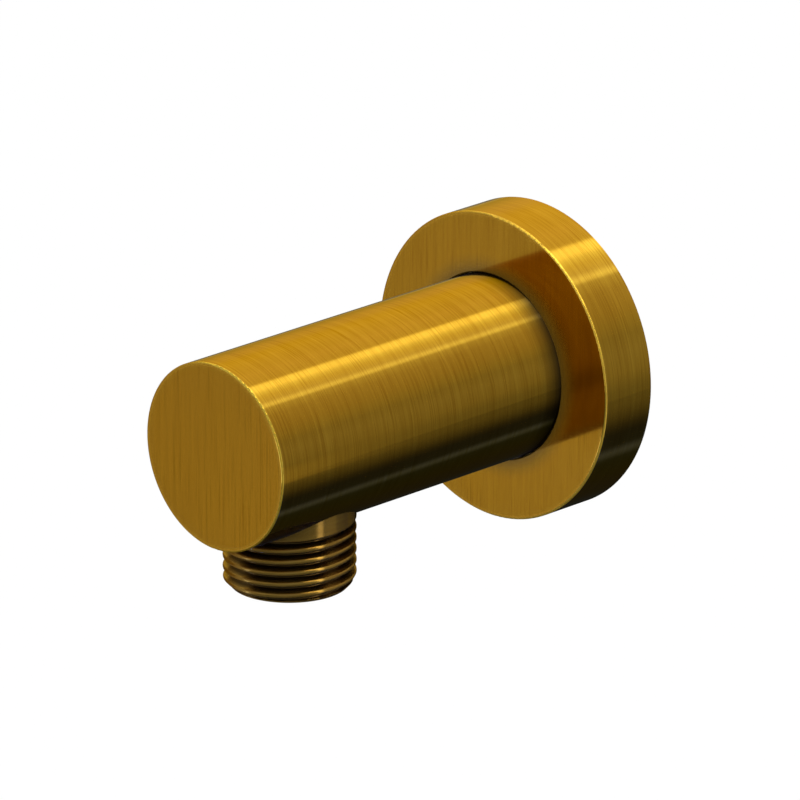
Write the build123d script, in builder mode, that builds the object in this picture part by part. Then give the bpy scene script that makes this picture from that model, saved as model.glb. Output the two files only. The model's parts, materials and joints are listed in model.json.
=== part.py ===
from build123d import *
from math import radians, tan
import os

# Wall outlet elbow for a hand shower, in millimetres.
# The origin is the centre of the flange's back face, on the wall.
# +Z is up, +Y points into the wall, and the arm stands out along -Y.

# G 1/2 pipe thread, drawn as ring grooves at its pitch, with flat crests and roots
thread_radius = 10.375
thread_depth = 1.175
thread_pitch = 1.814
thread_angle = 55.0
thread_groove_count = 5
thread_chamfer_length = 1.25

# Arm, a turned bar with a blind front end
arm_radius = 15.0
arm_reach = 70.5
arm_edge_round = 0.25
arm_shoulder_setback = 1.0
arm_shoulder_chamfer = 0.8

# Inlet spigot at the wall end of the arm
inlet_reach = 12.0
inlet_relief_width = 2.2
inlet_lead_chamfer = 0.5

# Water way drilled along the arm
waterway_radius = 6.0
waterway_overrun = 6.5
drill_point_angle = 118.0

# Flange, hollow behind
flange_radius = 25.0
flange_thickness = 10.15
flange_face_wall = 4.0
flange_rim_wall = 2.0
flange_edge_round = 0.3
flange_inner_round = 1.5
flange_bore_clearance = 0.15
flange_bore_chamfer = 0.2

# Rubber ring in the flange's bore
flange_ring_wire = 0.7
flange_groove_width = 2.0
ring_clearance = 0.04

# Outlet nipple, on a vertical axis near the arm's front end
# Its collar is turned just under its thread's crests and sits in a seat cut into the arm's underside
outlet_front_distance = 15.95
outlet_reach = 9.5
nipple_seat_depth = 5.0
nipple_seat_width = 1.375
collar_length = 4.0
collar_step = 0.16
collar_clearance = 0.1
nipple_relief_width = 0.9
nipple_wall = 1.65
spigot_length = 4.5
spigot_clearance = 0.05
spigot_end_gap = 0.5
spigot_chamfer = 0.6
nipple_throat_radius = 5.4
nipple_mouth_chamfer = 0.4

# Rubber ring on the nipple's spigot
nipple_ring_wire = 0.6
nipple_groove_width = 1.5
nipple_groove_setback = 0.5

# Non-return cartridge in the nipple
cartridge_clearance = 0.1
cartridge_length = 12.8
cartridge_recess = 0.5
cartridge_end_gap = 0.1
cartridge_edge_chamfer = 0.3

# Cartridge's upper half, with the seat
seat_body_length = 3.8
seat_step_length = 0.8
seat_lip_width = 1.8
seat_entry_round = 0.8
cartridge_ring_wire = 0.58
cartridge_groove_width = 1.6
cartridge_groove_setback = 1.1

# Cartridge's lower half, with the guide
cage_wall = 0.95
cage_step_clearance = 0.1
cage_rib_count = 4
cage_rib_width = 1.1
cage_rib_height = 1.6
cage_rib_overlap = 0.3
hub_wall = 0.84
guide_clearance = 0.06

# Poppet, its seal and its travel
poppet_travel = 2.0
poppet_stop_gap = 0.05
poppet_disc_thickness = 1.2
poppet_disc_flow_gap = 0.9
poppet_stem_radius = 1.2
poppet_stem_chamfer = 0.3
poppet_stem_recess = 0.15
poppet_head_flow_gap = 0.7
poppet_head_length = 1.4
poppet_head_round = 1.0
poppet_neck_step = 0.5
seal_edge_setback = 0.1
seal_thickness = 0.8
seal_neck_clearance = 0.05
seal_gap = 0.05

# Spring between the ribs and the poppet's disc
spring_turns = 4
spring_wire_radius = 0.22
spring_hub_gap = 0.33
spring_end_gap = 0.03

os.makedirs("parts", exist_ok=True)

# The thread's section, with crests and roots of one width
thread_flank_width = thread_depth * tan(radians(thread_angle / 2))
thread_land = thread_pitch / 2 - thread_flank_width
thread_groove_mouth = thread_pitch - thread_land
thread_flank_slope = 90 - thread_angle / 2
thread_grooves_offset = (thread_groove_count + 1) / 2 * thread_pitch - thread_land / 2

# Distances along the arm, measured from the wall
outlet_setback = arm_reach - outlet_front_distance
waterway_end = outlet_setback + waterway_overrun

# Heights along the outlet, measured from the arm's axis
nipple_seat = -arm_radius + nipple_seat_depth
nipple_end = -arm_radius - outlet_reach
thread_top = nipple_seat - collar_length - nipple_relief_width
cartridge_bottom = nipple_end + cartridge_recess
cartridge_top = cartridge_bottom + cartridge_length
seat_shoulder = cartridge_top - seat_body_length
seat_face = seat_shoulder - seat_step_length
seal_top = seat_face - seal_gap
disc_top = seal_top - seal_thickness
disc_bottom = disc_top - poppet_disc_thickness
hub_top = disc_bottom - poppet_travel - poppet_stop_gap
rib_top = cartridge_bottom + cage_rib_height
spigot_top = nipple_seat + spigot_length
socket_top = spigot_top + spigot_end_gap

# Radii that follow from a fit
flange_bore_radius = arm_radius + flange_bore_clearance
thread_root_radius = thread_radius - thread_depth
thread_groove_radius = thread_radius - thread_depth / 2
collar_radius = thread_radius - collar_step
spigot_radius = thread_radius - nipple_seat_width
socket_radius = spigot_radius + spigot_clearance
cartridge_bore_radius = thread_root_radius - nipple_wall
cartridge_radius = cartridge_bore_radius - cartridge_clearance
cage_inner_radius = cartridge_radius - cage_wall
seat_step_radius = cage_inner_radius - cage_step_clearance
seat_passage_radius = seat_step_radius - seat_lip_width
guide_radius = poppet_stem_radius + guide_clearance
hub_radius = guide_radius + hub_wall
poppet_disc_radius = cage_inner_radius - poppet_disc_flow_gap
poppet_head_radius = seat_passage_radius - poppet_head_flow_gap
poppet_neck_radius = poppet_head_radius - poppet_neck_step

# The outlet's axis, and the upright plane through it for its profiles
outlet_axis = Axis((0, -outlet_setback, 0), (0, 0, 1))
outlet_plane = Plane.XZ.offset(outlet_setback)

# Arm body: the bar, the inlet spigot, the water way and the nipple's socket
with BuildPart() as arm_body:
    inlet_thread_start = inlet_relief_width - arm_shoulder_setback
    with BuildSketch(Plane.XY):
        with BuildLine():
            Polyline(
                (0, -arm_reach),
                (arm_radius, -arm_reach),
                (arm_radius, -arm_shoulder_setback - arm_shoulder_chamfer),
                (arm_radius - arm_shoulder_chamfer, -arm_shoulder_setback),
                (thread_root_radius, -arm_shoulder_setback),
                (thread_root_radius, inlet_thread_start),
                (thread_radius, inlet_thread_start + thread_flank_width),
                (thread_radius, inlet_reach - thread_chamfer_length),
                (thread_root_radius, inlet_reach),
                (0, inlet_reach),
                close=True,
            )
        make_face()
    revolve(axis=Axis.Y)
    fillet(arm_body.edges().group_by(Axis.Y)[0], radius=arm_edge_round)

    with BuildSketch(Plane.XY):
        with Locations((thread_groove_radius, inlet_thread_start + thread_grooves_offset)):
            with GridLocations(0, thread_pitch, 1, thread_groove_count):
                Trapezoid(thread_groove_mouth, thread_depth, thread_flank_slope, rotation=90)
    revolve(axis=Axis.Y, mode=Mode.SUBTRACT)

    drill_point_length = waterway_radius / tan(radians(drill_point_angle / 2))
    with BuildSketch(Plane.XY):
        with BuildLine():
            Polyline(
                (0, -waterway_end - drill_point_length),
                (waterway_radius, -waterway_end),
                (waterway_radius, inlet_reach - inlet_lead_chamfer),
                (waterway_radius + inlet_lead_chamfer, inlet_reach),
                (0, inlet_reach),
                close=True,
            )
        make_face()
    revolve(axis=Axis.Y, mode=Mode.SUBTRACT)

    with BuildSketch(outlet_plane):
        with BuildLine():
            Polyline(
                (0, 0),
                (nipple_throat_radius, 0),
                (nipple_throat_radius, socket_top),
                (socket_radius, socket_top),
                (socket_radius, nipple_seat),
                (thread_radius + collar_clearance, nipple_seat),
                (thread_radius + collar_clearance, -arm_radius),
                (0, -arm_radius),
                close=True,
            )
        make_face()
    revolve(axis=outlet_axis, mode=Mode.SUBTRACT)

arm_body.part.label = "arm_body"
export_step(arm_body.part, "parts/arm_body.step")

# Wall flange: a face wall with a grooved bore, and a rim that meets the wall
with BuildPart() as wall_flange:
    face_wall_back = -flange_thickness + flange_face_wall
    rim_inner_radius = flange_radius - flange_rim_wall
    with BuildSketch(Plane.XY):
        with BuildLine():
            Polyline(
                (flange_bore_radius, -flange_thickness + flange_bore_chamfer),
                (flange_bore_radius + flange_bore_chamfer, -flange_thickness),
                (flange_radius, -flange_thickness),
                (flange_radius, 0),
                (rim_inner_radius, 0),
                (rim_inner_radius, face_wall_back),
                (flange_bore_radius, face_wall_back),
                close=True,
            )
        make_face()
        front_corner = vertices().sort_by_distance((flange_radius, -flange_thickness))[0]
        fillet(front_corner, radius=flange_edge_round)
        inner_corner = vertices().sort_by_distance((rim_inner_radius, face_wall_back))[0]
        fillet(inner_corner, radius=flange_inner_round)
    revolve(axis=Axis.Y)

    groove_middle = -flange_thickness + flange_face_wall / 2
    groove_radius = arm_radius + 2 * (flange_ring_wire + ring_clearance)
    with BuildSketch(Plane.XY):
        with Locations(((arm_radius + groove_radius) / 2, groove_middle)):
            Rectangle(groove_radius - arm_radius, flange_groove_width)
    revolve(axis=Axis.Y, mode=Mode.SUBTRACT)

wall_flange.part.label = "wall_flange"
export_step(wall_flange.part, "parts/wall_flange.step")

# Rubber ring between the flange and the arm
with BuildPart() as flange_o_ring:
    with BuildSketch(Plane.XY):
        with Locations(((arm_radius + groove_radius) / 2, groove_middle)):
            Circle(flange_ring_wire)
    revolve(axis=Axis.Y)

flange_o_ring.part.label = "flange_o_ring"
export_step(flange_o_ring.part, "parts/flange_o_ring.step")

# Outlet nipple: spigot, collar, relief and thread outside, throat and cartridge bore inside
with BuildPart() as outlet_nipple:
    bore_shoulder = cartridge_top + cartridge_end_gap
    with BuildSketch(outlet_plane):
        with BuildLine():
            Polyline(
                (nipple_throat_radius, spigot_top),
                (spigot_radius - spigot_chamfer, spigot_top),
                (spigot_radius, spigot_top - spigot_chamfer),
                (spigot_radius, nipple_seat),
                (collar_radius, nipple_seat),
                (collar_radius, nipple_seat - collar_length),
                (thread_root_radius, nipple_seat - collar_length),
                (thread_root_radius, thread_top),
                (thread_radius, thread_top - thread_flank_width),
                (thread_radius, nipple_end + thread_chamfer_length),
                (thread_root_radius, nipple_end),
                (cartridge_bore_radius + nipple_mouth_chamfer, nipple_end),
                (cartridge_bore_radius, nipple_end + nipple_mouth_chamfer),
                (cartridge_bore_radius, bore_shoulder),
                (nipple_throat_radius, bore_shoulder),
                close=True,
            )
        make_face()
    revolve(axis=outlet_axis)

    with BuildSketch(outlet_plane):
        with Locations((thread_groove_radius, thread_top - thread_grooves_offset)):
            with GridLocations(0, thread_pitch, 1, thread_groove_count):
                Trapezoid(thread_groove_mouth, thread_depth, thread_flank_slope, rotation=90)
    revolve(axis=outlet_axis, mode=Mode.SUBTRACT)

    nipple_groove_radius = socket_radius - 2 * (nipple_ring_wire + ring_clearance)
    nipple_groove_middle = nipple_seat + nipple_groove_setback + nipple_groove_width / 2
    with BuildSketch(outlet_plane):
        with Locations(((nipple_groove_radius + socket_radius) / 2, nipple_groove_middle)):
            Rectangle(socket_radius - nipple_groove_radius, nipple_groove_width)
    revolve(axis=outlet_axis, mode=Mode.SUBTRACT)

outlet_nipple.part.label = "outlet_nipple"
export_step(outlet_nipple.part, "parts/outlet_nipple.step")

# Rubber ring that seals the nipple in the arm
with BuildPart() as nipple_o_ring:
    with BuildSketch(outlet_plane):
        with Locations(((nipple_groove_radius + socket_radius) / 2, nipple_groove_middle)):
            Circle(nipple_ring_wire)
    revolve(axis=outlet_axis)

nipple_o_ring.part.label = "nipple_o_ring"
export_step(nipple_o_ring.part, "parts/nipple_o_ring.step")

# Cartridge's upper half: a rounded entry, the passage, and a step whose end is the valve's seat
with BuildPart() as valve_seat:
    with BuildSketch(outlet_plane):
        with BuildLine():
            Polyline(
                (seat_passage_radius, cartridge_top),
                (cartridge_radius, cartridge_top),
                (cartridge_radius, seat_shoulder),
                (seat_step_radius, seat_shoulder),
                (seat_step_radius, seat_face),
                (seat_passage_radius, seat_face),
                close=True,
            )
        make_face()
        entry_corner = vertices().sort_by_distance((seat_passage_radius, cartridge_top))[0]
        fillet(entry_corner, radius=seat_entry_round)
        outer_corner = vertices().sort_by_distance((cartridge_radius, cartridge_top))[0]
        chamfer(outer_corner, length=cartridge_edge_chamfer)
    revolve(axis=outlet_axis)

    cartridge_groove_radius = cartridge_bore_radius - 2 * (cartridge_ring_wire + ring_clearance)
    cartridge_groove_middle = cartridge_top - cartridge_groove_setback - cartridge_groove_width / 2
    cartridge_ring_middle = (cartridge_groove_radius + cartridge_bore_radius) / 2
    with BuildSketch(outlet_plane):
        with Locations((cartridge_ring_middle, cartridge_groove_middle)):
            Rectangle(cartridge_bore_radius - cartridge_groove_radius, cartridge_groove_width)
    revolve(axis=outlet_axis, mode=Mode.SUBTRACT)

valve_seat.part.label = "valve_seat"
export_step(valve_seat.part, "parts/valve_seat.step")

# Rubber ring that seals and holds the cartridge in the nipple
with BuildPart() as valve_o_ring:
    with BuildSketch(outlet_plane):
        with Locations((cartridge_ring_middle, cartridge_groove_middle)):
            Circle(cartridge_ring_wire)
    revolve(axis=outlet_axis)

valve_o_ring.part.label = "valve_o_ring"
export_step(valve_o_ring.part, "parts/valve_o_ring.step")

# Cartridge's lower half: a sleeve, and a hub on ribs that guides the poppet's stem
with BuildPart() as valve_cage:
    cage_height = seat_shoulder - cartridge_bottom
    with BuildSketch(Plane.XY.offset(cartridge_bottom)):
        with Locations((0, -outlet_setback)):
            Circle(cartridge_radius)
            Circle(cage_inner_radius, mode=Mode.SUBTRACT)
    extrude(amount=cage_height)
    chamfer(
        valve_cage.edges().group_by(Axis.Z)[0].sort_by(SortBy.RADIUS)[-1],
        length=cartridge_edge_chamfer,
    )
    with BuildSketch(Plane.XY.offset(cartridge_bottom)):
        with Locations((0, -outlet_setback)):
            with PolarLocations(cage_inner_radius / 2, cage_rib_count):
                Rectangle(cage_inner_radius + cage_rib_overlap, cage_rib_width)
    extrude(amount=cage_rib_height)
    with BuildSketch(Plane.XY.offset(cartridge_bottom)):
        with Locations((0, -outlet_setback)):
            Circle(hub_radius)
    extrude(amount=hub_top - cartridge_bottom)
    with BuildSketch(Plane.XY.offset(cartridge_bottom)):
        with Locations((0, -outlet_setback)):
            Circle(guide_radius)
    extrude(amount=hub_top - cartridge_bottom, mode=Mode.SUBTRACT)

valve_cage.part.label = "valve_cage"
export_step(valve_cage.part, "parts/valve_cage.step")

# Poppet: stem, disc, neck for the seal, and a rounded head that points up into the passage
with BuildPart() as valve_poppet:
    stem_end = cartridge_bottom + poppet_travel + poppet_stem_recess
    head_bottom = seal_top + seal_gap
    head_top = head_bottom + poppet_head_length
    with BuildSketch(outlet_plane):
        with BuildLine():
            Polyline(
                (0, stem_end),
                (poppet_stem_radius - poppet_stem_chamfer, stem_end),
                (poppet_stem_radius, stem_end + poppet_stem_chamfer),
                (poppet_stem_radius, disc_bottom),
                (poppet_disc_radius, disc_bottom),
                (poppet_disc_radius, disc_top),
                (poppet_neck_radius, disc_top),
                (poppet_neck_radius, head_bottom),
                (poppet_head_radius, head_bottom),
                (poppet_head_radius, head_top),
                (0, head_top),
                close=True,
            )
        make_face()
        head_corner = vertices().sort_by_distance((poppet_head_radius, head_top))[0]
        fillet(head_corner, radius=poppet_head_round)
    revolve(axis=outlet_axis)

valve_poppet.part.label = "valve_poppet"
export_step(valve_poppet.part, "parts/valve_poppet.step")

# Flat rubber ring that the poppet presses on the seat
with BuildPart() as valve_seal:
    with BuildSketch(Plane.XY.offset(disc_top)):
        with Locations((0, -outlet_setback)):
            Circle(poppet_disc_radius - seal_edge_setback)
            Circle(poppet_neck_radius + seal_neck_clearance, mode=Mode.SUBTRACT)
    extrude(amount=seal_thickness)

valve_seal.part.label = "valve_seal"
export_step(valve_seal.part, "parts/valve_seal.step")

# Coil spring around the hub, from the ribs up to the poppet's disc
with BuildPart() as valve_spring:
    coil_bottom = rib_top + spring_end_gap + spring_wire_radius
    coil_height = disc_bottom - spring_end_gap - spring_wire_radius - coil_bottom
    with BuildLine():
        coil = Helix(
            pitch=coil_height / spring_turns,
            height=coil_height,
            radius=hub_radius + spring_hub_gap + spring_wire_radius,
            center=(0, -outlet_setback, coil_bottom),
        )
    with BuildSketch(Plane(origin=coil @ 0, z_dir=coil % 0)):
        Circle(spring_wire_radius)
    sweep(is_frenet=True)

valve_spring.part.label = "valve_spring"
export_step(valve_spring.part, "parts/valve_spring.step")
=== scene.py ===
import json
import math

import bpy
from mathutils import Matrix, Vector


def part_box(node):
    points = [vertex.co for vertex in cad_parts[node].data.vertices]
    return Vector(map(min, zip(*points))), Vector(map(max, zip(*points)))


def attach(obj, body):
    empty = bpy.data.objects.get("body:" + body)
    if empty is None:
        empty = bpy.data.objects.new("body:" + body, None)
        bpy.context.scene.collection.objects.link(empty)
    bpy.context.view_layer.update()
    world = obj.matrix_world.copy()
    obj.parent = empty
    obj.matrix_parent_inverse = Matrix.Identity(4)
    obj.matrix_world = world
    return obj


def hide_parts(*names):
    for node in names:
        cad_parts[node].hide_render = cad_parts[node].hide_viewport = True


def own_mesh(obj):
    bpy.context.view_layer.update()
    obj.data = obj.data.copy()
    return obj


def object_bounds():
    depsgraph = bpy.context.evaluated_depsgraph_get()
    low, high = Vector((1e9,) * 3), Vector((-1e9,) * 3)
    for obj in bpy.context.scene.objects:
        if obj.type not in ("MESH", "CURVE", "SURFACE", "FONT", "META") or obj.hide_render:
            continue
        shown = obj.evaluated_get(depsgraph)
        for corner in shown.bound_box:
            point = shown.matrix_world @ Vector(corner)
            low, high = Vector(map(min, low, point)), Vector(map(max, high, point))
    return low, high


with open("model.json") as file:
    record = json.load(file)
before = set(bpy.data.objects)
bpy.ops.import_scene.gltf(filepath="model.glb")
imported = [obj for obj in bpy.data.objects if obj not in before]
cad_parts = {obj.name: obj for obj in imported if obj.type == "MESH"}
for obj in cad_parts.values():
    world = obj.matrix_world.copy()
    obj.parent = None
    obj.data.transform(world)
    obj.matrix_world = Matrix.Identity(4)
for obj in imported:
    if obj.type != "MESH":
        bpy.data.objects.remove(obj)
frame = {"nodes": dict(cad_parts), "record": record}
cadNodes = frame["nodes"]
cadLow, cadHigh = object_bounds()
mm = 0.001
print("frame loaded with", len(cadNodes), "solids")


# helpers for node trees and objects

def newTree(name):
    material = bpy.data.materials.new(name)
    material.use_nodes = True
    material.node_tree.nodes.clear()
    return material, material.node_tree


def addNode(tree, kind, inputs=None, **settings):
    node = tree.nodes.new(kind)
    for key, value in settings.items():
        setattr(node, key, value)
    for socket, value in (inputs or {}).items():
        if isinstance(value, bpy.types.NodeSocket):
            tree.links.new(value, node.inputs[socket])
        else:
            node.inputs[socket].default_value = value
    return node


def objectCoords(tree):
    return addNode(tree, "ShaderNodeTexCoord").outputs["Object"]


def splitVector(tree, vector):
    return addNode(tree, "ShaderNodeSeparateXYZ", {0: vector}).outputs


def math2(tree, operation, first, second=0.0):
    return addNode(tree, "ShaderNodeMath", {0: first, 1: second}, operation=operation).outputs[0]


def stretched(tree, coords, scale):
    return addNode(tree, "ShaderNodeVectorMath", {0: coords, 1: scale}, operation="MULTIPLY").outputs[0]


def scaled(tree, coords, factor):
    return stretched(tree, coords, (factor, factor, factor))


def noise(tree, vector, detail, roughness=0.5):
    inputs = {"Vector": vector, "Scale": 1.0, "Detail": detail, "Roughness": roughness}
    return addNode(tree, "ShaderNodeTexNoise", inputs).outputs["Fac"]


def band(tree, value, low, high, outLow=0.0, outHigh=1.0):
    inputs = {"Value": value, "From Min": low, "From Max": high, "To Min": outLow, "To Max": outHigh}
    return addNode(tree, "ShaderNodeMapRange", inputs).outputs[0]


def mixNumber(tree, amount, first, second):
    return addNode(tree, "ShaderNodeMix", {0: amount, 2: first, 3: second}).outputs[0]


def mixVector(tree, amount, first, second):
    return addNode(tree, "ShaderNodeMix", {0: amount, 4: first, 5: second}, data_type="VECTOR").outputs[1]


def mixColour(tree, amount, first, second):
    return addNode(tree, "ShaderNodeMix", {0: amount, 6: first, 7: second}, data_type="RGBA").outputs[2]


def showSurface(tree, shader):
    addNode(tree, "ShaderNodeOutputMaterial", {"Surface": shader.outputs[0]})


def dimmed(colour, share):
    return tuple(channel * share for channel in colour[:3]) + (1.0,)


def placeObject(name, data):
    thing = bpy.data.objects.new(name, data)
    bpy.context.scene.collection.objects.link(thing)
    return thing


# brushed gold: fine lines round the turned walls, upright lines on the flat faces, with a painted highlight
# on the front rims and painted shade in corners

armGold = {
    "lightColour": (0.625, 0.318, 0.0195, 1.0),
    "darkColour": (0.455, 0.206, 0.0100, 1.0),
    # painted highlight: the rounded front rims and the metal beside them are brightened towards this colour
    "rimHighlightColour": (1.0, 0.60, 0.050, 1.0),
    "glanceTint": (0.82, 0.64, 0.446, 1.0),    # keeps the gold from whitening at glancing angles
    "wallRoughness": 0.10,
    "flatRoughness": 0.09,
    "rimHighlightRoughness": 0.32,           # the rim under the painted highlight is rougher, so the edge shines alike all round
    "anisotropic": 0.6,
    "metallic": 1.0,
    "lines": 1000.0,                # coarsest lines across the brushing, per metre
    "run": 20.0,                    # how often a line changes along its length, per metre
    "grainDetail": 4.0,
    "grainRoughness": 0.85,
    "grainSpread": 0.22,            # how far the noise swings from its middle between the two colours
    "contrast": 0.9,
    "scratches": 5200.0,            # thin dark lines, per metre across the brushing
    "scratchLevel": (0.56, 0.68),   # noise levels between which a scratch sets in
    "scratchDepth": 0.9,
    "patches": 0.14,                # scale of the patches that hold more scratches, as a share of the lines'
    "patchLevel": (0.40, 0.62),
    "patchDepth": (0.5, 1.7),       # scratches outside the patches and in them
    "flatCalm": 0.6,                # how far the grain is evened out on the flat faces
    "calmShade": 0.35,              # the shade that it is evened out to
    "flatTurn": (0.85, 0.97),       # the axis's share in a face's normal, where the flat's grain sets in
    "wallTurn": (0.15, 0.05),       # and where the face counts as wall
    "rimTurn": (0.10, 0.30),        # the rounded edge starts and ends between these two
    "rimEnd": (0.99, 0.93),
    "besideHighlight": 0.18,                 # how far the flat beside the rim takes the painted highlight too
    "rimReach": (0.35, 0.05),       # mm in from the edge where that sets in and where it is full
    "wallHighlight": 0.6,                 # and the wall beside it
    "wallReach": (0.50, 0.25),      # mm behind the front
    # painted shade: near corners the colour is darkened towards this one by the ambient occlusion node
    "paintedShadeColour": (0.07, 0.036, 0.006, 1.0),
    "paintedShadeReach": 4.8,             # mm from a corner to where its painted shade ends
    "cornerShade": (0.5, 1.0),      # share of open sky between full painted shade and unshaded metal
    "paintedShadeRays": 16,               # rays that look for the corner
    "paintedShadeMetallic": 1.0,          # how metallic the metal stays under the painted shade
}
flangeGold = dict(
    armGold, lightColour=(0.67, 0.347, 0.022, 1.0), darkColour=(0.50, 0.232, 0.0125, 1.0),
    rimHighlightColour=(1.0, 0.57, 0.05, 1.0), flatCalm=0.35,
    paintedShadeColour=(0.17, 0.106, 0.017, 1.0), paintedShadeReach=3.6, paintedShadeMetallic=0.55,
)
nippleGold = dict(
    armGold, lightColour=(0.42, 0.237, 0.034, 1.0), darkColour=(0.31, 0.160, 0.022, 1.0),
    glanceTint=(0.79, 0.64, 0.47, 1.0), wallRoughness=0.25, anisotropic=0.95, metallic=0.95,
    # painted shade on the nipple: black under the arm, dark in the thread's roots
    paintedShadeColour=(0.0, 0.0, 0.0, 1.0), paintedShadeReach=4.5,
    grooveTop=-13.9, grooveBlend=0.3, grooveShadeColour=(0.07, 0.037, 0.008, 1.0), grooveShadeReach=1.0,
)


def brushedShade(tree, finish, coords, onFlat, wallAxis):
    lines, run = finish["lines"], finish["run"]
    wallCoords = stretched(tree, coords, [lines if axis == wallAxis else run for axis in "XYZ"])
    flatCoords = stretched(tree, coords, (lines, 1.0, run))
    grainCoords = mixVector(tree, onFlat, wallCoords, flatCoords)
    grain = noise(tree, grainCoords, finish["grainDetail"], finish["grainRoughness"])
    spread = finish["grainSpread"] / finish["contrast"]
    shade = band(tree, grain, 0.5 - spread, 0.5 + spread)

    scratchCoords = scaled(tree, grainCoords, finish["scratches"] / lines)
    scratch = band(tree, noise(tree, scratchCoords, 1.0), *finish["scratchLevel"])
    patch = noise(tree, scaled(tree, grainCoords, finish["patches"]), 2.0)
    patchDepth = band(tree, patch, *finish["patchLevel"], *finish["patchDepth"])
    scratch = math2(tree, "MULTIPLY", scratch, patchDepth)
    shade = math2(tree, "SUBTRACT", shade, math2(tree, "MULTIPLY", scratch, finish["scratchDepth"]))
    calm = math2(tree, "MULTIPLY", onFlat, finish["flatCalm"])
    return mixNumber(tree, calm, shade, finish["calmShade"])


def paintedRimHighlight(tree, finish, place, endOn, onFlat, edgeRadius, edgeFront):
    # painted highlight on the rounded front edge, and less strongly on the flat inside it and the wall behind
    # it
    squares = [math2(tree, "POWER", place[axis], 2.0) for axis in "XZ"]
    outward = math2(tree, "SQRT", math2(tree, "ADD", *squares))
    atRim = math2(tree, "GREATER_THAN", outward, edgeRadius * mm)
    turned = band(tree, endOn, *finish["rimTurn"])
    slanted = math2(tree, "MULTIPLY", turned, band(tree, endOn, *finish["rimEnd"]))
    onRim = math2(tree, "MULTIPLY", atRim, slanted)

    rimReach = [(edgeRadius - reach) * mm for reach in finish["rimReach"]]
    beside = math2(tree, "MULTIPLY", band(tree, outward, *rimReach, 0.0, finish["besideHighlight"]), onFlat)
    wallReach = [(edgeFront + reach) * mm for reach in finish["wallReach"]]
    behind = band(tree, place["Y"], *wallReach, 0.0, finish["wallHighlight"])
    behind = math2(tree, "MULTIPLY", behind, band(tree, endOn, *finish["wallTurn"]))
    return math2(tree, "MAXIMUM", math2(tree, "MAXIMUM", onRim, beside), behind)


def brushGold(name, finish, wallAxis, edgeRadius=None, edgeFront=None):
    material, tree = newTree(name)
    coords = objectCoords(tree)
    place = splitVector(tree, coords)
    facing = splitVector(tree, addNode(tree, "ShaderNodeNewGeometry").outputs["Normal"])
    endOn = math2(tree, "ABSOLUTE", facing[wallAxis])
    onFlat = band(tree, endOn, *finish["flatTurn"])
    shade = brushedShade(tree, finish, coords, onFlat, wallAxis)
    colour = mixColour(tree, shade, finish["darkColour"], finish["lightColour"])
    roughness = mixNumber(tree, onFlat, finish["wallRoughness"], finish["flatRoughness"])
    if edgeRadius is not None:
        highlightShare = paintedRimHighlight(tree, finish, place, endOn, onFlat, edgeRadius, edgeFront)
        # painted highlight: the rim's colour is brightened
        colour = mixColour(tree, highlightShare, colour, finish["rimHighlightColour"])
        roughness = band(tree, highlightShare, finish["wallHighlight"], 1.0, roughness, finish["rimHighlightRoughness"])

    # painted shade: colour darkened where the ambient occlusion node finds surfaces close by
    reach, paintedShadeColour = finish["paintedShadeReach"] * mm, finish["paintedShadeColour"]
    if "grooveTop" in finish:    # painted shade: below the seat only the grooves' roots are darkened
        grooveTop, blend = finish["grooveTop"] * mm, finish["grooveBlend"] * mm
        inGroove = band(tree, place["Z"], grooveTop + blend, grooveTop - blend)
        reach = band(tree, inGroove, 0.0, 1.0, reach, finish["grooveShadeReach"] * mm)
        paintedShadeColour = mixColour(tree, inGroove, paintedShadeColour, finish["grooveShadeColour"])
    corner = addNode(tree, "ShaderNodeAmbientOcclusion", {"Distance": reach}, samples=finish["paintedShadeRays"])
    unshaded = band(tree, corner.outputs["AO"], *finish["cornerShade"])
    colour = mixColour(tree, unshaded, paintedShadeColour, colour)
    metallic = finish["metallic"]
    if finish["paintedShadeMetallic"] < metallic:
        metallic = band(tree, unshaded, 0.0, 1.0, finish["paintedShadeMetallic"], metallic)

    alongWall = [float(axis == wallAxis) for axis in "XYZ"]
    showSurface(tree, addNode(tree, "ShaderNodeBsdfPrincipled", {
        "Base Color": colour,
        "Metallic": metallic,
        "Roughness": roughness,
        "Specular Tint": finish["glanceTint"],
        "Anisotropic": finish["anisotropic"],
        "Tangent": mixVector(tree, onFlat, alongWall, (1.0, 0.0, 0.0)),
    }))
    return material


# moulded and rubber pieces inside

mouldedSkin = {
    "cloudScale": 0.1,          # of the grain's scale
    "darkShare": 0.8,
    "levels": (0.2, 0.8),       # noise levels of the smoothest and the roughest spots
    "roughnessSpread": 0.06,
}
blackRubber = dict(mouldedSkin, colour=(0.018, 0.018, 0.018, 1.0), roughness=0.5, grain=1500.0, depth=1e-5)
paleAcetal = dict(mouldedSkin, colour=(0.80, 0.80, 0.76, 1.0), roughness=0.38, grain=900.0, depth=4e-6)
blueAcetal = dict(mouldedSkin, colour=(0.06, 0.17, 0.40, 1.0), roughness=0.36, grain=900.0, depth=4e-6)


def grainedRoughness(tree, finish, grain):
    middle, spread = finish["roughness"], finish["roughnessSpread"]
    return band(tree, grain, *finish["levels"], middle - spread, middle + spread)


def mouldSurface(name, finish):
    material, tree = newTree(name)
    coords = objectCoords(tree)
    grain = noise(tree, scaled(tree, coords, finish["grain"]), 4.0)
    cloud = noise(tree, scaled(tree, coords, finish["grain"] * finish["cloudScale"]), 2.0)
    bump = addNode(tree, "ShaderNodeBump", {"Height": grain, "Distance": finish["depth"]})
    showSurface(tree, addNode(tree, "ShaderNodeBsdfPrincipled", {
        "Base Color": mixColour(tree, cloud, finish["colour"], dimmed(finish["colour"], finish["darkShare"])),
        "Roughness": grainedRoughness(tree, finish, grain),
        "Normal": bump.outputs[0],
    }))
    return material


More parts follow.
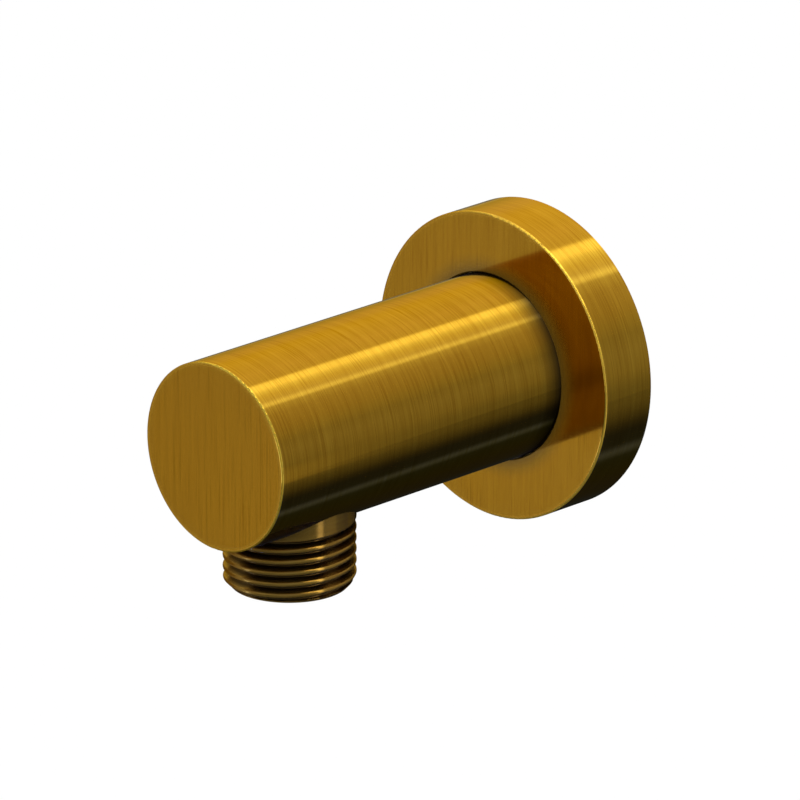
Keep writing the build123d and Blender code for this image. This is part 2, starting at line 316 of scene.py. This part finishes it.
springWire = {
    "colour": (0.60, 0.60, 0.59, 1.0),
    "darkShare": 0.75,
    "roughness": 0.28,
    "roughnessSpread": 0.08,
    "levels": (0.2, 0.8),
    "lines": 3000.0,            # per metre across the wire
    "run": 0.1,                 # scale along the lines, as a share of the one across
}


def drawnWire(name, finish):
    material, tree = newTree(name)
    along = finish["lines"] * finish["run"]
    grain = noise(tree, stretched(tree, objectCoords(tree), (along, along, finish["lines"])), 2.0)
    showSurface(tree, addNode(tree, "ShaderNodeBsdfPrincipled", {
        "Base Color": mixColour(tree, grain, finish["colour"], dimmed(finish["colour"], finish["darkShare"])),
        "Metallic": 1.0,
        "Roughness": grainedRoughness(tree, finish, grain),
    }))
    return material


finishes = {
    "brushed_gold_arm": brushGold("brushedGoldArm", armGold, "Y", edgeRadius=14.6, edgeFront=-70.5),
    "brushed_gold_flange": brushGold("brushedGoldFlange", flangeGold, "Y", edgeRadius=24.6, edgeFront=-10.15),
    "turned_gold_nipple": brushGold("turnedGoldNipple", nippleGold, "Z"),
    "black_rubber": mouldSurface("blackRubber", blackRubber),
    "pale_acetal": mouldSurface("paleAcetal", paleAcetal),
    "blue_acetal": mouldSurface("blueAcetal", blueAcetal),
    "stainless_wire": drawnWire("springWire", springWire),
}

for subpart in frame["record"]["subparts"]:
    node = cadNodes[subpart["node"]]
    node.data.materials.clear()
    node.data.materials.append(finishes[subpart["material_slot"]])
cadNodes["wall_flange"].visible_glossy = False    # the arm's wall doesn't show it
print("finishes made:", len(finishes))


# pipe threads, cut as a height field round each turned piece

pipeThread = {
    "pitch": 1.814,
    "crestRadius": 10.375,
    "crestRound": 0.40,          # worn fuller than a new thread's crest
    "rootRound": 0.09,
    "flankTurn": 62.5,           # degrees from the crest's middle to the flank
    "columns": 360,
    "rowsPerTurn": 24,
    "cornerInset": 0.25,         # share of a face from its corner to where the corner's normal is taken
    "normalStep": 0.004,         # mm over which the slope is measured there
}


def depthBelowCrest(fromCrest, thread):
    pitch, crest, root = thread["pitch"], thread["crestRound"], thread["rootRound"]
    turn = math.radians(thread["flankTurn"])
    crestEdge, rootEdge = crest * math.sin(turn), root * math.sin(turn)
    crestDrop, rootDrop = crest * (1 - math.cos(turn)), root * (1 - math.cos(turn))
    flankFoot = crestDrop + (pitch / 2 - crestEdge - rootEdge) * math.tan(turn)
    fromRoot = pitch / 2 - fromCrest
    if fromCrest < crestEdge:
        return crest - math.sqrt(crest ** 2 - fromCrest ** 2)
    if fromRoot < rootEdge:
        return flankFoot + rootDrop - root + math.sqrt(root ** 2 - fromRoot ** 2)
    return crestDrop + (fromCrest - crestEdge) * math.tan(turn)


def envelopeRadius(height, points):
    for (low, lowRadius), (high, highRadius) in zip(points, points[1:]):
        if height <= high:
            share = (height - low) / (high - low)
            return lowRadius + (highRadius - lowRadius) * min(max(share, 0.0), 1.0)
    return points[-1][1]


crestRadius = pipeThread["crestRadius"]
inletThread = {
    "origin": (0.0, 0.0, 0.0),
    "axis": (0.0, 1.0, 0.0),
    "side": (0.0, 0.0, 1.0),
    "crestAtZero": 1.96,
    "envelope": [(1.2, 9.2), (2.375, crestRadius), (10.75, crestRadius), (12.0, 9.2)],    # height, radius
    "cutFrom": 1.2,
    "cutTo": 12.0,
    "shankTop": None,
}

outletLow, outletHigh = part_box("outlet_nipple")
outletY = (outletLow.y + outletHigh.y) / 2 / mm
cameraSide = math.radians(-45)
outletThread = {
    "origin": (0.0, outletY, 0.0),
    "axis": (0.0, 0.0, 1.0),
    "side": (math.cos(cameraSide), math.sin(cameraSide), 0.0),
    "crestAtZero": -13.86,          # middle of the crest that runs into the shank, on the camera's side
    "envelope": [(-24.5, 9.2), (-23.25, crestRadius), (-10.0, crestRadius)],
    "cutFrom": -24.5,
    "cutTo": -12.6,
    "shankTop": -10.0,
    "runOutFrom": 0.30,             # turns from the camera's side where the last groove starts to fade
}


def threadRadius(height, turn, cut, thread=pipeThread):
    pitch = thread["pitch"]
    below = (cut["crestAtZero"] + pitch * turn - height) / pitch
    envelope = envelopeRadius(height, cut["envelope"])
    if cut["shankTop"] is not None and below <= 0:
        return envelope
    depth = depthBelowCrest(abs(below - round(below)) * pitch, thread)
    if cut["shankTop"] is not None and below < 1:
        fade = (0.5 - turn) / (0.5 - cut["runOutFrom"])
        depth *= min(max(fade, 0.0), 1.0)
    return min(envelope, thread["crestRadius"] - depth)


def threadSleeve(cut, heights, thread=pipeThread):
    origin, axis, side = Vector(cut["origin"]), Vector(cut["axis"]), Vector(cut["side"])
    across = axis.cross(side)
    columns = thread["columns"]
    turns = [column / columns - 0.5 for column in range(columns)]
    points = []
    for height in heights:
        for turn in turns:
            angle = 2 * math.pi * turn
            radial = side * math.cos(angle) + across * math.sin(angle)
            points.append((origin + radial * threadRadius(height, turn, cut) + axis * height) * mm)

    def cornerNormal(height, turn):
        step = thread["normalStep"]
        angle = 2 * math.pi * turn
        radial = side * math.cos(angle) + across * math.sin(angle)
        around = axis.cross(radial)
        turnStep = step / (2 * math.pi * threadRadius(height, turn, cut))
        above, below = threadRadius(height + step, turn, cut), threadRadius(height - step, turn, cut)
        after, before = threadRadius(height, turn + turnStep, cut), threadRadius(height, turn - turnStep, cut)
        rise, swing = (above - below) / (2 * step), (after - before) / (2 * step)
        return (radial - axis * rise - around * swing).normalized()

    faces, normals = [], []
    inset = thread["cornerInset"]
    for row in range(len(heights) - 1):
        low, high = heights[row], heights[row + 1]
        for column in range(columns):
            here, there = column, (column + 1) % columns
            faces.append((row * columns + here, row * columns + there,
                          (row + 1) * columns + there, (row + 1) * columns + here))
            left = turns[column] + inset / columns
            right = turns[column] + (1 - inset) / columns
            lowIn, highIn = low + (high - low) * inset, high - (high - low) * inset
            normals += [cornerNormal(lowIn, left), cornerNormal(lowIn, right),
                        cornerNormal(highIn, right), cornerNormal(highIn, left)]
    return points, faces, normals


def evenRows(start, end, thread=pipeThread):
    count = math.ceil((end - start) / thread["pitch"] * thread["rowsPerTurn"])
    return [start + (end - start) * row / count for row in range(count + 1)]


def threadedPiece(name, nodeName, cut, slot):
    # the solid's own surface without its ringed thread, and the cut thread in its place
    heights = evenRows(cut["cutFrom"], cut["cutTo"])
    if cut["shankTop"] is not None:
        heights.append(cut["shankTop"])
    cad = cadNodes[nodeName].data
    origin, axis = Vector(cut["origin"]) * mm, Vector(cut["axis"])
    slack, hair = 0.1, 0.001    # mm, to take the thread's own faces and leave the shoulders beside it
    innermost = (cut["envelope"][0][1] - slack) * mm
    bottom, top = (heights[0] - hair) * mm, (heights[-1] - hair) * mm
    points, faces, normals, kept = [], [], [], {}
    for polygon in cad.polygons:
        offset = polygon.center - origin
        height = offset.dot(axis)
        radius = (offset - axis * height).length
        if radius > innermost and bottom < height < top:
            continue
        for index in polygon.vertices:
            if index not in kept:
                kept[index] = len(points)
                points.append(cad.vertices[index].co.copy())
        faces.append([kept[index] for index in polygon.vertices])
        normals += [cad.corner_normals[loop].vector.copy() for loop in polygon.loop_indices]
    sleevePoints, sleeveFaces, sleeveNormals = threadSleeve(cut, heights)
    start = len(points)
    mesh = bpy.data.meshes.new(name)
    mesh.from_pydata(points + sleevePoints, [], faces + [[start + i for i in face] for face in sleeveFaces])
    mesh.polygons.foreach_set("use_smooth", [True] * len(mesh.polygons))
    mesh.normals_split_custom_set(normals + sleeveNormals)
    mesh.materials.append(finishes[slot])
    piece = placeObject(name, mesh)
    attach(piece, "fitting")
    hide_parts(nodeName)
    print(name, "made with", len(mesh.polygons), "faces")
    return piece


threadedPiece("armBody", "arm_body", inletThread, "brushed_gold_arm")
outletNipple = threadedPiece("outletNipple", "outlet_nipple", outletThread, "turned_gold_nipple")
outletNipple.visible_glossy = False    # the arm's dark underside doesn't show it


# coil spring with closed ends, wound to the CAD spring's length

spring = {
    "turns": 4.0,
    "closedTurns": 0.7,
    "closedRise": 0.06,     # share of the height that a closed turn takes
    "wireRadius": 0.22,
    "stepsPerTurn": 64,
    "sides": 20,
    "travel": 2.0,
}


def windSpring(size):
    low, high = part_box("valve_spring")
    centre = (low + high) / 2
    wireRadius, sides = size["wireRadius"] * mm, size["sides"]
    meanRadius = (high.x - low.x) / 2 - wireRadius
    bottom = low.z + wireRadius
    height = high.z - low.z - 2 * wireRadius
    steps = int(size["turns"] * size["stepsPerTurn"])
    closed, closedRise = size["closedTurns"] / size["turns"], size["closedRise"]

    def heightAt(share):
        if share < closed:
            return closedRise * (share / closed) ** 2
        if share > 1 - closed:
            return 1 - closedRise * ((1 - share) / closed) ** 2
        return closedRise + (1 - 2 * closedRise) * (share - closed) / (1 - 2 * closed)

    points, faces = [], []
    for step in range(steps + 1):
        share = step / steps
        angle = 2 * math.pi * size["turns"] * share
        radial = Vector((math.cos(angle), math.sin(angle), 0.0))
        middle = Vector((centre.x, centre.y, bottom + height * heightAt(share))) + radial * meanRadius
        for side in range(sides):
            turn = 2 * math.pi * side / sides
            out = radial * math.cos(turn) + Vector((0, 0, 1)) * math.sin(turn)
            points.append(middle + out * wireRadius)
    for step in range(steps):
        for side in range(sides):
            nextSide = (side + 1) % sides
            faces.append((step * sides + side, (step + 1) * sides + side,
                          (step + 1) * sides + nextSide, step * sides + nextSide))
    faces.append(tuple(range(sides)))
    faces.append(tuple(steps * sides + side for side in reversed(range(sides))))
    mesh = bpy.data.meshes.new("valveSpring")
    mesh.from_pydata(points, [], faces)
    mesh.polygons.foreach_set("use_smooth", [len(face) == 4 for face in faces])
    mesh.materials.append(finishes["stainless_wire"])
    piece = placeObject("valveSpring", mesh)
    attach(piece, "fitting")
    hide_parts("valve_spring")
    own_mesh(piece)


windSpring(spring)
print("spring wound")


# floor: plain and pale, seen through from below

floorPlan = {"size": 14.0, "drop": 0.75, "colour": (1.0, 1.0, 1.0, 1.0)}


def layFloor(plan):
    half = plan["size"] / 2
    corners = [(-half, -half, 0), (half, -half, 0), (half, half, 0), (-half, half, 0)]
    mesh = bpy.data.meshes.new("floor")
    mesh.from_pydata(corners, [], [(0, 1, 2, 3)])
    material, tree = newTree("floorPaint")
    paint = addNode(tree, "ShaderNodeBsdfDiffuse", {"Color": plan["colour"]})
    clear = addNode(tree, "ShaderNodeBsdfTransparent")
    fromBelow = addNode(tree, "ShaderNodeNewGeometry").outputs["Backfacing"]
    mixed = addNode(tree, "ShaderNodeMixShader", {0: fromBelow, 1: paint.outputs[0], 2: clear.outputs[0]})
    showSurface(tree, mixed)
    mesh.materials.append(material)
    floor = placeObject("floor", mesh)
    floor.location = (0, 0, cadLow.z - plan["drop"])


layFloor(floorPlan)


# studio cloths hung round the arm, seen only in the metal's reflections
# radius, front and back in metres; each stop is an angle from straight up towards +X, and the light there
# these levels are fitted to the shading measured in the photograph, and aren't plain studio light

cloths = {
    "rearCloth": {
        "radius": 0.7,
        "front": 0.17,
        "back": 12.0,
        "stops": [
            (-125.0, (0.84, 0.82, 0.62)), (-103.0, (0.67, 0.62, 0.27)), (-90.0, (0.60, 0.53, 0.06)),
            (-80.0, (0.82, 0.80, 0.22)), (-72.0, (0.95, 0.96, 0.50)), (-62.0, (1.0, 1.04, 1.3)),
            (-48.0, (1.05, 1.10, 2.0)), (-30.0, (0.98, 1.0, 1.3)), (-20.0, (1.0, 1.01, 1.3)),
            (-5.3, (0.92, 0.94, 1.0)), (-3.6, (1.75, 2.0, 2.8)), (-1.5, (1.95, 2.35, 3.6)),
            (3.4, (1.94, 2.28, 3.3)), (8.0, (1.37, 1.60, 2.05)), (13.0, (1.11, 1.21, 1.35)),
            (20.0, (1.0, 1.09, 1.5)), (24.5, (1.47, 1.78, 3.0)), (26.5, (1.30, 1.55, 2.4)),
            (28.5, (0.76, 0.84, 1.12)), (38.0, (0.585, 0.605, 0.77)), (54.0, (0.485, 0.50, 0.62)),
            (64.0, (0.415, 0.45, 0.58)), (72.0, (0.345, 0.385, 0.56)), (84.0, (0.352, 0.40, 0.64)),
            (98.0, (0.305, 0.345, 0.52)), (112.0, (0.185, 0.22, 0.36)), (128.0, (0.104, 0.124, 0.23)),
            (138.0, (0.038, 0.048, 0.14)), (144.0, (0.019, 0.028, 0.14)), (155.0, (0.019, 0.030, 0.18)),
            (161.0, (0.068, 0.122, 1.6)), (167.0, (0.021, 0.035, 0.20)), (185.0, (0.023, 0.033, 0.10)),
            (205.0, (0.021, 0.028, 0.03)), (235.0, (0.015, 0.019, 0.015)), (262.0, (0.28, 0.27, 0.16)),
        ],
    },
    "frontCloth": {
        "radius": 0.7,
        "front": -12.0,
        "back": 0.17,
        "stops": [
            (-60.0, (0.45, 0.5, 0.7)), (0.0, (0.48, 0.56, 0.8)), (60.0, (0.38, 0.45, 0.6)),
            (100.0, (0.28, 0.33, 0.5)), (130.0, (0.15, 0.18, 0.25)), (200.0, (0.12, 0.14, 0.2)),
            (222.0, (0.25, 0.28, 0.4)), (235.0, (0.45, 0.46, 0.6)), (260.0, (0.47, 0.48, 0.65)),
            (300.0, (0.45, 0.5, 0.7)),
        ],
    },
    "mirrorCloth": {
        "radius": 0.68,
        "front": -0.80,
        "back": -0.46,
        "stops": [
            (-75.0, (0.44, 0.52, 0.85)), (-34.0, (0.45, 0.55, 0.95)), (0.0, (0.45, 0.56, 1.00)),
            (60.0, (0.36, 0.45, 0.80)), (90.0, (0.35, 0.43, 0.72)), (102.0, (0.29, 0.35, 0.54)),
            (112.0, (0.21, 0.25, 0.36)), (122.0, (0.21, 0.25, 0.36)), (134.0, (0.28, 0.34, 0.56)),
            (152.0, (0.30, 0.37, 0.66)), (192.0, (0.27, 0.34, 0.62)), (206.0, (0.21, 0.27, 0.48)),
        ],
    },
    "overheadCloth": {
        "radius": 0.6,
        "front": -0.10,
        "back": 0.14,
        "stops": [
            (-30.0, (1.9, 2.0, 2.0)), (-11.0, (2.1, 2.15, 2.3)), (6.0, (4.1, 4.2, 4.5)),
            (23.0, (3.2, 3.3, 3.6)), (40.0, (3.3, 3.4, 3.7)),
        ],
    },
    "overheadEnd": {
        "radius": 0.6,
        "front": -0.13,
        "back": -0.03,
        "stops": [
            (-66.0, (0.4, 0.38, 0.3)), (-58.0, (1.0, 1.0, 1.0)), (-42.0, (1.7, 1.75, 1.7)),
            (-30.0, (2.0, 2.1, 2.1)),
        ],
    },
    "sideCloth": {
        "radius": 0.6,
        "front": -0.01,
        "back": 0.095,
        "stops": [
            (40.0, (3.7, 3.8, 4.1)), (57.0, (3.8, 3.9, 4.3)), (75.0, (2.6, 2.7, 3.1)),
            (90.0, (1.55, 1.6, 2.2)), (103.0, (1.2, 1.3, 2.1)), (122.0, (1.2, 1.3, 2.1)),
            (130.0, (0.2, 0.22, 0.3)),
        ],
    },
    "glintCloth": {
        "radius": 0.66,
        "front": -1.15,
        "back": -0.76,
        "stops": [(228.0, (3.0, 4.0, 10.5)), (244.0, (3.0, 4.0, 10.5))],
    },
    "leftCloth": {
        "radius": 0.66,
        "front": -0.42,
        "back": 0.17,
        "stops": [(236.0, (0.26, 0.20, 0.07)), (300.0, (0.24, 0.18, 0.06))],
    },
    "nearSideCloth": {
        "radius": 0.64,
        "front": 0.17,
        "back": 0.48,
        "stops": [(100.0, (0.30, 0.33, 0.45)), (108.0, (0.46, 0.50, 0.65)), (122.0, (0.46, 0.50, 0.65))],
    },
    "lowCloth": {
        "radius": 0.64,
        "front": 1.2,
        "back": 2.4,
        "stops": [(130.0, (0.12, 0.13, 0.2)), (145.0, (0.15, 0.17, 0.25)), (215.0, (0.15, 0.17, 0.25))],
    },
}


def lightAt(stops, angle):
    for (start, low), (end, high) in zip(stops, stops[1:]):
        if angle <= end:
            share = (angle - start) / (end - start)
            return [first + (second - first) * share for first, second in zip(low, high)]
    return list(stops[-1][1])


def hangCloth(name, plan):
    stops = plan["stops"]
    stepsPerDegree = 2
    start, end = stops[0][0], stops[-1][0]
    count = math.ceil((end - start) * stepsPerDegree)
    points, faces, lights = [], [], []
    for step in range(count + 1):
        angle = start + (end - start) * step / count
        x, z = math.sin(math.radians(angle)), math.cos(math.radians(angle))
        for y in (plan["front"], plan["back"]):
            points.append((plan["radius"] * x, y, plan["radius"] * z))
            lights += lightAt(stops, angle) + [1.0]
    for step in range(count):
        faces.append((2 * step, 2 * step + 1, 2 * step + 3, 2 * step + 2))
    mesh = bpy.data.meshes.new(name)
    mesh.from_pydata(points, [], faces)
    mesh.attributes.new("light", "FLOAT_COLOR", "POINT").data.foreach_set("color", lights)
    material, tree = newTree(name)
    light = addNode(tree, "ShaderNodeAttribute", attribute_name="light").outputs["Color"]
    showSurface(tree, addNode(tree, "ShaderNodeEmission", {"Color": light}))
    material.cycles.emission_sampling = "NONE"
    mesh.materials.append(material)
    cloth = placeObject(name, mesh)
    for kind in ("camera", "diffuse", "transmission", "volume_scatter", "shadow"):
        setattr(cloth, "visible_" + kind, False)


for clothName, clothPlan in cloths.items():
    hangCloth(clothName, clothPlan)


# soft key light from the front and above

keyPlan = {
    "aim": (0, -0.035, 0),
    "direction": (0.30, -0.70, 0.64),
    "distance": 0.62,
    "size": 0.26,
    "power": 0.6,
}


def hangKeyLight(plan):
    lamp = bpy.data.lights.new("keyLight", "AREA")
    lamp.size = plan["size"]
    lamp.energy = plan["power"]
    light = placeObject("keyLight", lamp)
    direction = Vector(plan["direction"]).normalized()
    light.location = Vector(plan["aim"]) + direction * plan["distance"]
    light.rotation_mode = "QUATERNION"
    light.rotation_quaternion = direction.to_track_quat("Z", "Y")
    light.visible_glossy = False


hangKeyLight(keyPlan)

world = bpy.data.worlds.new("studio")
world.use_nodes = True
sky = world.node_tree.nodes["Background"]
sky.inputs["Color"].default_value = (1.0, 1.0, 1.0, 1.0)
sky.inputs["Strength"].default_value = 1.0
bpy.context.scene.world = world
print("studio lit")


# camera, fitted to the outlines in the photograph

cameraPlan = {
    "turn": 45.017,            # degrees round from the front, towards +X
    "rise": 19.379,            # degrees above the horizon
    "distance": 1296.5,        # mm from the lens to the plane through the origin
    "pixelsPerMm": 6.321,      # at that plane
    "originPixel": (536.048, 350.918),
    "frame": 800,              # pixels across
    "sensor": 36.0,
    "clip": (0.01, 50.0),      # metres
}


def placeCamera(plan):
    turn, rise = math.radians(plan["turn"]), math.radians(plan["rise"])
    right = Vector((math.cos(turn), math.sin(turn), 0.0))
    ahead = Vector((-math.sin(turn) * math.cos(rise), math.cos(turn) * math.cos(rise), -math.sin(rise)))
    up = right.cross(ahead)
    middle = plan["frame"] / 2
    shiftRight = (plan["originPixel"][0] - middle) / plan["pixelsPerMm"]
    shiftUp = (middle - plan["originPixel"][1]) / plan["pixelsPerMm"]
    place = -(right * shiftRight + up * shiftUp + ahead * plan["distance"]) * mm
    lens = bpy.data.cameras.new("camera")
    lens.sensor_width = plan["sensor"]
    lens.lens = plan["pixelsPerMm"] * plan["distance"] / plan["frame"] * plan["sensor"]
    lens.clip_start, lens.clip_end = plan["clip"]
    camera = placeObject("camera", lens)
    turnMatrix = Matrix((right, up, -ahead)).transposed()
    camera.matrix_world = Matrix.Translation(place) @ turnMatrix.to_4x4()
    bpy.context.scene.camera = camera


placeCamera(cameraPlan)
bpy.context.scene.view_settings.view_transform = "Standard"
print("camera placed")
